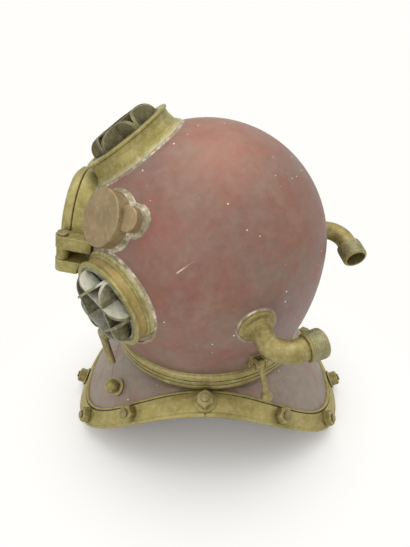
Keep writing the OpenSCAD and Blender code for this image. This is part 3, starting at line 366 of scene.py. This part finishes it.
# Solder. Every fitting on the bonnet is soldered round its foot. The real fillets are tin
# and lead wiped smooth by hand, now a chalky grey, so their edges wander a little.
solder, tree, surface = new_material("solder_wiped_and_chalky")
where = add(tree, "TexCoord").outputs["Object"]
chalk = add(tree, "TexNoise", {"Vector": where, "Scale": 90, "Detail": 6, "Roughness": 0.66})
paint = add(tree, "ValToRGB", {0: chalk.outputs[0]},
    stops=[(0.34, "#6f6450"), (0.5, "#978b6f"), (0.64, "#cfc8b4")]).outputs[0]
rub = add(tree, "MapRange", {"Value": chalk.outputs[0], "To Min": 0.38, "To Max": 0.7}).outputs[0]
lumps = add(tree, "Bump", {"Height": chalk.outputs[0], "Distance": 0.3 * MM,
    "Strength": 0.5}).outputs[0]
for socket, value in (("Base Color", paint), ("Roughness", rub), ("Normal", lumps)):
    tree.links.new(value, surface.inputs[socket])
surface.inputs["Metallic"].default_value = 0.35


def new_piece(name, verts, faces, material, body):
    """A smooth mesh piece that rides on a body and takes the given material."""
    mesh = bpy.data.meshes.new(name)
    mesh.from_pydata([tuple(v) for v in verts], [], faces)
    cleaner = bmesh.new()
    cleaner.from_mesh(mesh)
    bmesh.ops.recalc_face_normals(cleaner, faces=cleaner.faces)
    cleaner.to_mesh(mesh)
    cleaner.free()
    mesh.materials.append(material)
    mesh.polygons.foreach_set("use_smooth", [True] * len(mesh.polygons))
    piece = bpy.data.objects.new(name, mesh)
    bpy.context.scene.collection.objects.link(piece)
    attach(piece, body)
    return piece


def loft(rings, joined=False, first=0):
    """Points and faces of a loft through rings of equal length, capped or joined round."""
    count = len(rings[0])
    spans = len(rings) if joined else len(rings) - 1
    verts = [v for ring in rings for v in ring]
    faces = []
    for i in range(spans):
        start, after = i * count, (i + 1) % len(rings) * count
        for j in range(count):
            k = (j + 1) % count
            faces.append((start + j, start + k, after + k, after + j))
    if not joined:
        faces.append(tuple(range(count)))
        faces.append(tuple(range((len(rings) - 1) * count, len(rings) * count)))
    return verts, [tuple(first + i for i in face) for face in faces]


def wander(angle, seed):
    """A smooth wobble between about -1 and 1 round a foot."""
    return noise.noise((2.2 * math.cos(angle) + seed, 2.2 * math.sin(angle), seed * 0.7)) * 1.6


def hollow(corner, top, toe, inward, under, curve=5):
    """The section of a wiped fillet, a little fuller than a true hollow, closed underneath."""
    knee = corner * 0.8 + (top + toe) * 0.1
    ring = []
    for j in range(curve + 1):
        t = j / curve
        ring.append(top * (1 - t) ** 2 + knee * 2 * t * (1 - t) + toe * t * t)
    return ring + [toe + inward - under, corner + inward - under, top + inward]


def solder_fillet(name, place, radius, width, height, seed, steps=120):
    """A wiped fillet round the foot of a fitting on the bonnet."""
    rings = []
    for i in range(steps):
        angle = 2 * math.pi * i / steps
        out = width * (1 + 0.25 * wander(angle, seed))
        up = height * (1 + 0.25 * wander(angle, seed + 9))
        corner = seat_point(place, radius, angle)
        inward = Vector((-math.cos(angle), -math.sin(angle), 0)) * 0.4 * MM
        ring = hollow(corner, corner + Vector((0, 0, up)), seat_point(place, radius + out, angle),
            inward, Vector((0, 0, 0.8 * MM)))
        rings.append([place @ v for v in ring])
    verts, faces = loft(rings, joined=True)
    new_piece(name, verts, faces, solder, "bonnet")


# Each fillet: its fitting, how far it spreads over the sheet and how far it climbs, in mm
FILLETS = (
    ("cup", 4.5, 4.5),
    ("boss", 6, 4),
    ("air_elbow", 1.5, 1.2),
    ("telephone_elbow", 1.5, 1.2),
    ("exhaust", 1.8, 1.5),
    ("top_window", 1.5, 1.2),
    ("left_window", 2.2, 1.5),
    ("right_window", 2.2, 1.5),
)
for seed, (name, width, height) in enumerate(FILLETS, start=1):
    solder_fillet(name + "_solder", *SEATS[name], width * MM, height * MM, seed)

# The bonnet sheet is sweated into its ring too. The narrow fillet on the ring's top face was
# rubbed down with the ring and has its colour.
NECK_TOP = 164 * MM
NECK_LEDGE_R = 135.6 * MM
NECK_STEPS = 160
rings = []
for i in range(NECK_STEPS):
    angle = 2 * math.pi * i / NECK_STEPS
    outward = Vector((math.cos(angle), math.sin(angle), 0))
    up = NECK_TOP + 1.6 * MM * (1 + 0.3 * wander(angle, 12))
    wall = [math.sqrt(LOWER_R**2 - (z - BONNET_CENTRE.z) ** 2) - LOWER_R + BONNET_R
        for z in (NECK_TOP, up)]
    rings.append(hollow(outward * wall[0] + Vector((0, 0, NECK_TOP)),
        outward * wall[1] + Vector((0, 0, up)),
        outward * NECK_LEDGE_R + Vector((0, 0, NECK_TOP)), outward * -0.4 * MM,
        Vector((0, 0, 0.3 * MM))))
verts, faces = loft(rings, joined=True)
new_piece("neck_solder", verts, faces, brass_turned, "bonnet")

# Brails, studs and nuts. The real straps are cast brass, filed to fit the rim, with a fine
# moulding along the outer edge, and they butt against a bead of the sheet. The studs are
# drawn bronze, and the nuts are cast with rough corners and rubbed by the spanner.
brass_straps = cast_brass("brass_cast_straps",
    [(0.3, "#7c6f3c"), (0.46, "#978a50"), (0.6, "#a89b60"), (0.76, "#b8ac78")], "#ccbe87")
brass_nuts = cast_brass("brass_cast_nuts",
    [(0.3, "#736738"), (0.5, "#92854f"), (0.7, "#ab9e6c")], "#c8bb87", painted_shade_and_grime=0.7)
bronze = cast_brass("bronze_drawn",
    [(0.3, "#665b3a"), (0.5, "#84784e"), (0.7, "#9f9264")], "#c2b283", roughness=0.42)
dress(["brail_front_left", "brail_front_right", "brail_back_left", "brail_back_right"],
    brass_straps)
dress(["rim_nuts", "joint_nuts", "lanyard_stud_left", "lanyard_stud_right"], brass_nuts)
dress(["rim_studs"], bronze)

# The sheet as in the solids: its reach to the front and the side, how high its rim arches over
# the shoulders, how square its outline is, its collar, and how full and drooping it lies
PLATE_FRONT = 214 * MM
PLATE_SIDE = 163 * MM
PLATE_ARCH = 119 * MM
PLATE_SQUARE = 2.4
ARCH_POWER = 1.33
PLATE_TOP_R = 124.3 * MM
PLATE_TOP_Z = 132.7 * MM
FULLNESS = (0.36, 0.58)
DROOP = (0.1, 0.35)
# In from the rim: the straps' inner edge and the studs
STRAP_WIDTH = 30 * MM
STUD_ALONG = 18.5 * MM


def plate_point(angle, t):
    """A point of the breastplate's sheet, from its collar (t = 0) to its rim (t = 1)."""
    side, front = abs(math.cos(angle)), abs(math.sin(angle))
    reach = ((side / PLATE_SIDE) ** PLATE_SQUARE
        + (front / PLATE_FRONT) ** PLATE_SQUARE) ** (-1 / PLATE_SQUARE)
    rim_z = PLATE_ARCH * max(0, 1 - min(1, reach * front / PLATE_FRONT) ** 2) ** ARCH_POWER
    full = FULLNESS[0] + (FULLNESS[1] - FULLNESS[0]) * front**2
    drop = DROOP[0] + (DROOP[1] - DROOP[0]) * front**2
    middle = PLATE_TOP_R + full * (reach - PLATE_TOP_R)
    middle_z = PLATE_TOP_Z - drop * (PLATE_TOP_Z - rim_z)
    radius = (1 - t) ** 2 * PLATE_TOP_R + 2 * t * (1 - t) * middle + t * t * reach
    height = (1 - t) ** 2 * PLATE_TOP_Z + 2 * t * (1 - t) * middle_z + t * t * rim_z
    return Vector((radius * math.cos(angle), radius * math.sin(angle), height))


def plate_place(angle, along):
    """A frame on the sheet, some way in from the rim: +Z out of it, +X towards the rim."""
    low, high, step = 0.0, 1.0, 0.001
    for _ in range(24):
        t = (low + high) / 2
        if (plate_point(angle, t) - plate_point(angle, 1)).length > along:
            low = t
        else:
            high = t
    up = (plate_point(angle, t + step) - plate_point(angle, t - step)).cross(
        plate_point(angle + step, t) - plate_point(angle - step, t)).normalized()
    return (
        Matrix.Translation(plate_point(angle, t))
        @ Matrix.Rotation(math.atan2(up.y, up.x), 4, "Z")
        @ Matrix.Rotation(math.acos(up.z), 4, "Y")
    )


def bead(name, along, out, half, heights, start, end, steps):
    """A half-round bead along the rim; heights are those over the shoulders and in front."""
    closed = end - start > math.pi
    rings = []
    for i in range(steps):
        angle = start + (end - start) * i / (steps if closed else steps - 1)
        place = plate_place(angle, along)
        up = heights[0] + (heights[1] - heights[0]) * math.sin(angle) ** 2
        ring = [Vector((half * math.cos(b * math.pi / 8), 0, out + up * math.sin(b * math.pi / 8)))
            for b in range(9)]
        ring += [Vector((-half, 0, out - 0.3 * MM)), Vector((half, 0, out - 0.3 * MM))]
        rings.append([place @ v for v in ring])
    verts, faces = loft(rings, joined=closed)
    new_piece(name, verts, faces, brass_straps, "breastplate")


bead("rim_bead", along=STRAP_WIDTH + 3.8 * MM, out=0.1 * MM, half=2.6 * MM,
    heights=(1.4 * MM, 4.2 * MM), start=0, end=2 * math.pi, steps=288)
# One moulding on each strap, from joint to joint
for name, turn in (("back_left", 0), ("back_right", 90), ("front_right", 180), ("front_left", 270)):
    bead("moulding_" + name, along=4.2 * MM, out=4.1 * MM, half=0.9 * MM,
        heights=(0.9 * MM, 0.9 * MM), start=math.radians(turn + 0.6),
        end=math.radians(turn + 89.4), steps=72)


def thread(place, root, crest, pitch, start, end, steps):
    """The rings of a screw thread, a thin closed shell round a fitting's axis.

    Six rows of points make a turn. The crests are flat, and the thread runs out over half a
    turn at each end.
    """
    last = round((end - start) / pitch * 6)
    rings = []
    for row in range(last + 1):
        z = start + (end - start) * row / last
        fade = min(1, (z - start) / pitch * 2, (end - z) / pitch * 2)
        ring = []
        for i in range(steps):
            ridge = 1 - abs(2 * ((z / pitch - i / steps) % 1) - 1)
            r = root + (crest - root) * fade * min(1, ridge * 1.4)
            angle = 2 * math.pi * i / steps
            ring.append(place @ Vector((r * math.cos(angle), r * math.sin(angle), z)))
        rings.append(ring)
    inner = root - 0.1 * MM
    for z in (end, start):
        rings.append([place @ Vector((inner * math.cos(2 * math.pi * i / steps),
            inner * math.sin(2 * math.pi * i / steps), z)) for i in range(steps)])
    return rings


# Heights of the nuts' tops over the sheet, and the studs' places round one half of the rim
NUT_TOP = 16 * MM
JOINT_NUT_TOP = 19.5 * MM
STUD_TURNS = (-61.7, -35.5, 0, 35.5, 61.7, 90)
JOINT_TURNS = (0, 90)
STUD_ROOT_R = 5.05 * MM
STUD_CREST_R = 5.45 * MM
STUD_PITCH = 1 * MM
stud_verts, stud_faces = [], []
for side in (0, 180):
    for turn in STUD_TURNS:
        low = JOINT_NUT_TOP if turn in JOINT_TURNS else NUT_TOP
        rings = thread(plate_place(math.radians(side + turn), STUD_ALONG), STUD_ROOT_R,
            STUD_CREST_R, STUD_PITCH, start=low + 0.1 * MM, end=low + 2.4 * MM, steps=24)
        verts, faces = loft(rings, joined=True, first=len(stud_verts))
        stud_verts += verts
        stud_faces += faces
new_piece("stud_threads", stud_verts, stud_faces, bronze, "breastplate")

# Port and window rings. The real ones are brass castings, turned on the lip and left rough
# outside, dull olive with a chalky bloom and lime round the foot. The side windows' walls
# keep a stripe of brown lacquer under the lip.
RING_STOPS = [(0.28, "#746a35"), (0.45, "#8f8449"), (0.6, "#a3985e"), (0.78, "#b8ad80")]
brass_rings = cast_brass("brass_cast_rings", RING_STOPS, "#cdc293", foot=0.55)
# The side rings' lip, out from the bonnet's centre, and the stripes under it
SIDE_LIP = 171 * MM
brass_side_rings = cast_brass("brass_cast_side_rings", RING_STOPS, "#cdc293", lime=0.3, foot=0.7,
    bands=[(SEATS[name][0], low, high, code, strength)
        for name in ("left_window", "right_window")
        for low, high, code, strength in (
            (SIDE_LIP - 12.5 * MM, SIDE_LIP - 4 * MM, "#a48a52", 0.65),
            (SIDE_LIP - 14 * MM, SIDE_LIP - 13 * MM, "#6a5d3a", 0.8),
            (SIDE_LIP - 16.5 * MM, SIDE_LIP - 15.6 * MM, "#6f6445", 0.7))])
dress(["front_port_ring", "top_window_ring"], brass_rings)
dress(["left_window_ring", "right_window_ring"], brass_side_rings)

# Front door. The real one is a cast brass frame with a glass disc, held by a notched ring,
# on a bronze hinge pin, and pulled shut by a swing bolt with a wing nut.
dress(["faceplate_frame", "faceplate_fork", "faceplate_retainer", "wing_nut"], brass_rings)
dress(["hinge_pin", "bolt_pin", "swing_bolt"], bronze)

rubber, tree, surface = new_material("rubber_moulded")
where = add(tree, "TexCoord").outputs["Object"]
bloom = add(tree, "TexNoise", {"Vector": where, "Scale": 90, "Detail": 4}).outputs[0]
paint = add(tree, "ValToRGB", {0: bloom}, stops=[(0.35, "#1f1f1e"), (0.7, "#3b3a37")]).outputs[0]
bumps = add(tree, "Bump", {"Height": bloom, "Distance": 0.1 * MM, "Strength": 0.5}).outputs[0]
tree.links.new(paint, surface.inputs["Base Color"])
tree.links.new(bumps, surface.inputs["Normal"])
surface.inputs["Roughness"].default_value = 0.7
dress(["faceplate_gasket", "speaker_unit"], rubber)

# Window glass. The real discs are plate glass 9 mm thick, greenish at the edge, with a film
# of dust and lime that is thickest near the rim.
glass, tree, surface = new_material("plate_glass_dusty")
where = add(tree, "TexCoord").outputs["Object"]
dust = add(tree, "TexNoise", {"Vector": where, "Scale": 45, "Detail": 6,
    "Roughness": 0.7}).outputs[0]
film = add(tree, "MapRange", {"Value": dust, "From Min": 0.35, "From Max": 0.75,
    "To Min": 0.1, "To Max": 0.4}).outputs[0]
clear = add(tree, "MapRange", {"Value": dust, "From Min": 0.35, "From Max": 0.75,
    "To Min": 0.97, "To Max": 0.8}).outputs[0]
tree.links.new(film, surface.inputs["Roughness"])
tree.links.new(clear, surface.inputs["Transmission Weight"])
surface.inputs["Base Color"].default_value = colour("#9aa391")
surface.inputs["IOR"].default_value = 1.52
dress(["faceplate_glass", "top_window_glass", "left_window_glass", "right_window_glass"], glass)

# Window guards. The real ones are brass grids cast in one piece and domed over the glass,
# never polished between the bars: dark olive with painted shade between the bars, and on the
# side windows painted white light on what faces up.
brass_guards_lime_and_painted_light = cast_brass("brass_guards_lime_and_painted_light",
    [(0.3, "#514c30"), (0.45, "#676243"), (0.6, "#7f7a5a"), (0.75, "#9b967b")], "#b5b093",
    painted_shade_and_grime=0.85, lime=0.3, metal=0.45, painted_top_light=0.75)
dress(["left_window_guard", "right_window_guard"], brass_guards_lime_and_painted_light)
brass_guard_olive = cast_brass("brass_guard_olive",
    [(0.3, "#46422a"), (0.45, "#5b5537"), (0.6, "#736c4a"), (0.75, "#918a6a")], "#c2bb98",
    painted_shade_and_grime=0.85, lime=0.12, metal=0.45)
dress(["top_window_guard"], brass_guard_olive)

# Telephone cup and lead boss. The real ones are turned brass that took a brown lacquer, so
# their flat faces are tan where the rest of the brass is olive.
brass_lacquered = cast_brass("brass_brown_lacquer",
    [(0.3, "#7d6a48"), (0.5, "#8f7b58"), (0.7, "#9e8a66")], "#b8a27c", lime=0.15, metal=0.45,
    foot=0.8)
dress(["telephone_cup", "lead_boss", "speaker_clamp"], brass_lacquered)

# Elbows and sleeves. The real elbows are cast brass on round flanges, and a sleeve with a
# fine outer thread is sweated to each for the hose. The thread is drawn at twice its pitch.
brass_elbows = cast_brass("brass_cast_elbows",
    [(0.3, "#6f6235"), (0.46, "#8a7c48"), (0.6, "#9c8f59"), (0.78, "#b1a574")], "#c8bb88")
dress(["air_elbow", "telephone_elbow", "air_sleeve", "telephone_sleeve"], brass_elbows)
dress(["check_valve"], bronze)
brass_threads = cast_brass("brass_cut_threads",
    [(0.3, "#6d6845"), (0.5, "#8d885f"), (0.7, "#a39d76")], "#cbc49e", lime=0.25, painted_shade_and_grime=0.7)
SLEEVE_R = 16.5 * MM
SLEEVE_PITCH = 2.2 * MM
# The far end of an elbow's bend in mm, sideways from its foot's axis and out from the centre
BEND_OUT = 34.6
BEND_RISE = 187.5
# Each sleeve: how its elbow is rolled, its reach past the bend and its length in mm
SLEEVES = (("air", 6, 21.5, 22), ("telephone", 199, 16, 26.5))
for name, roll, reach, length in SLEEVES:
    outlet = (SEATS[name + "_elbow"][0] @ Matrix.Rotation(math.radians(roll), 4, "Z")
        @ Matrix.Translation(Vector((BEND_OUT, 0, BEND_RISE + reach)) * MM)
        @ Matrix.Rotation(math.radians(90), 4, "Y"))
    rings = thread(outlet, SLEEVE_R + 0.02 * MM, SLEEVE_R + 0.7 * MM, SLEEVE_PITCH,
        start=2.6 * MM, end=(length - 2) * MM, steps=72)
    verts, faces = loft(rings, joined=True)
    new_piece(name + "_sleeve_thread", verts, faces, brass_threads, "bonnet")

# Valves and latch. The real exhaust valve, spitcock and safety latch are small brass
# castings with turned bronze spindles, and a light coil spring shuts the exhaust valve.
dress(["exhaust_body", "exhaust_wheel", "spitcock_body", "latch_bracket", "latch_lever"],
    brass_elbows)
dress(["exhaust_stem", "spitcock_plug", "latch_pin"], bronze)
dress(["exhaust_spring"], bronze)
# The spring's foot, out from the bonnet's centre, and its coils pressed together
SPRING_BASE = 159.8 * MM
SPRING_LENGTH = 6.4 * MM
SPRING_R = 7.6 * MM
WIRE_R = 0.7 * MM
SPRING_TURNS = 3
TURN_STEPS = 24
rings = []
for i in range(SPRING_TURNS * TURN_STEPS + 1):
    angle = 2 * math.pi * i / TURN_STEPS
    share = i / (SPRING_TURNS * TURN_STEPS)
    outward = Vector((math.cos(angle), math.sin(angle), 0))
    middle = outward * SPRING_R + Vector((0, 0, SPRING_BASE + WIRE_R
        + share * (SPRING_LENGTH - 2 * WIRE_R)))
    rings.append([SEATS["exhaust"][0] @ (middle + outward * WIRE_R * math.cos(b * math.pi / 4)
        + Vector((0, 0, WIRE_R * math.sin(b * math.pi / 4)))) for b in range(8)])
verts, faces = loft(rings)
spring_coil = new_piece("exhaust_spring_coil", verts, faces, bronze, "exhaust_stem")
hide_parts("exhaust_spring")

# Studio. A pale floor that runs into white, one broad soft lamp overhead and a little
# behind the helmet, a weaker one from the camera's side, and an even white room.
FLOOR_SIZE = 8
floor_mesh = bpy.data.meshes.new("studio_floor")
half = FLOOR_SIZE / 2
floor_mesh.from_pydata([(-half, -half, 0), (half, -half, 0), (half, half, 0), (-half, half, 0)], [],
    [(0, 1, 2, 3)])
floor = bpy.data.objects.new("studio_floor", floor_mesh)
bpy.context.scene.collection.objects.link(floor)


def seen_directly(tree):
    """1 for what the camera sees, also in metal or through glass, and 0 for what only lights."""
    rays = add(tree, "LightPath").outputs
    seen = add(tree, "Math", {0: rays["Is Camera Ray"], 1: rays["Is Glossy Ray"]},
        operation="MAXIMUM").outputs[0]
    return add(tree, "Math", {0: seen, 1: rays["Is Transmission Ray"]},
        operation="MAXIMUM").outputs[0]


# The floor keeps the shadow near the helmet and runs into the backdrop's white past it
SHADOW_FROM = 0.14
SHADOW_TO = 0.42
paper, tree, surface = new_material("studio_paper")
where = add(tree, "TexCoord").outputs["Object"]
away = add(tree, "VectorMath", {0: where}, operation="LENGTH").outputs[1]
fade = add(tree, "MapRange", {"Value": away, "From Min": SHADOW_FROM, "From Max": SHADOW_TO},
    interpolation_type="SMOOTHSTEP").outputs[0]
surface.inputs["Base Color"].default_value = colour("#fbfaf7")
surface.inputs["Roughness"].default_value = 0.8
white = add(tree, "Emission", {"Color": colour("#fffefb")}).outputs[0]
share = add(tree, "Math", {0: fade, 1: seen_directly(tree)}, operation="MULTIPLY").outputs[0]
mixed = add(tree, "MixShader", {0: share, 1: surface.outputs[0], 2: white}).outputs[0]
tree.links.new(mixed, tree.nodes["Material Output"].inputs["Surface"])
floor_mesh.materials.append(paper)

world = bpy.data.worlds.new("studio_room")
bpy.context.scene.world = world
world.use_nodes = True
tree = world.node_tree
tree.nodes.clear()
room = add(tree, "Background", {"Color": colour("#ffffff"), "Strength": 0.78}).outputs[0]
backdrop = add(tree, "Background", {"Color": colour("#fffefb"), "Strength": 1}).outputs[0]
mixed = add(tree, "MixShader", {0: seen_directly(tree), 1: room, 2: backdrop}).outputs[0]
add(tree, "OutputWorld", {"Surface": mixed})


def lamp(name, place, aim, size, power):
    """A square soft lamp that points at a place."""
    light = bpy.data.lights.new(name, "AREA")
    light.size = size
    light.energy = power
    holder = bpy.data.objects.new(name, light)
    holder.location = place
    holder.rotation_mode = "QUATERNION"
    holder.rotation_quaternion = (Vector(aim) - Vector(place)).to_track_quat("-Z", "Y")
    bpy.context.scene.collection.objects.link(holder)


lamp("lamp_overhead", place=(-0.1, 0.1, 1.9), aim=(0, 0, 0.2), size=1.8, power=16)
lamp("lamp_near", place=(1.6, -0.9, 1.3), aim=(0, 0, 0.25), size=1.4, power=8)

# Camera. It stands on the diver's left, 10 cm above the crown, and looks down 32 degrees. Its
# place and focal length, in pixels of the photograph, were fitted to the helmet's outline.
CAMERA_PLACE = Vector((0.51205, 0.01041, 0.55407))
CAMERA_AIM = Vector((0, -0.003, 0.234))
CAMERA_ROLL = math.radians(-0.4)
FOCAL_PIXELS = 411
LONG_SIDE_PIXELS = 547
camera = bpy.data.cameras.new("camera")
camera.sensor_width = 36
camera.lens = camera.sensor_width * FOCAL_PIXELS / LONG_SIDE_PIXELS
holder = bpy.data.objects.new("camera", camera)
holder.location = CAMERA_PLACE
holder.rotation_mode = "QUATERNION"
look = (CAMERA_AIM - CAMERA_PLACE).to_track_quat("-Z", "Y")
holder.rotation_quaternion = look @ Matrix.Rotation(CAMERA_ROLL, 4, "Z").to_quaternion()
bpy.context.scene.collection.objects.link(holder)
bpy.context.scene.camera = holder
bpy.context.scene.view_settings.view_transform = "Standard"
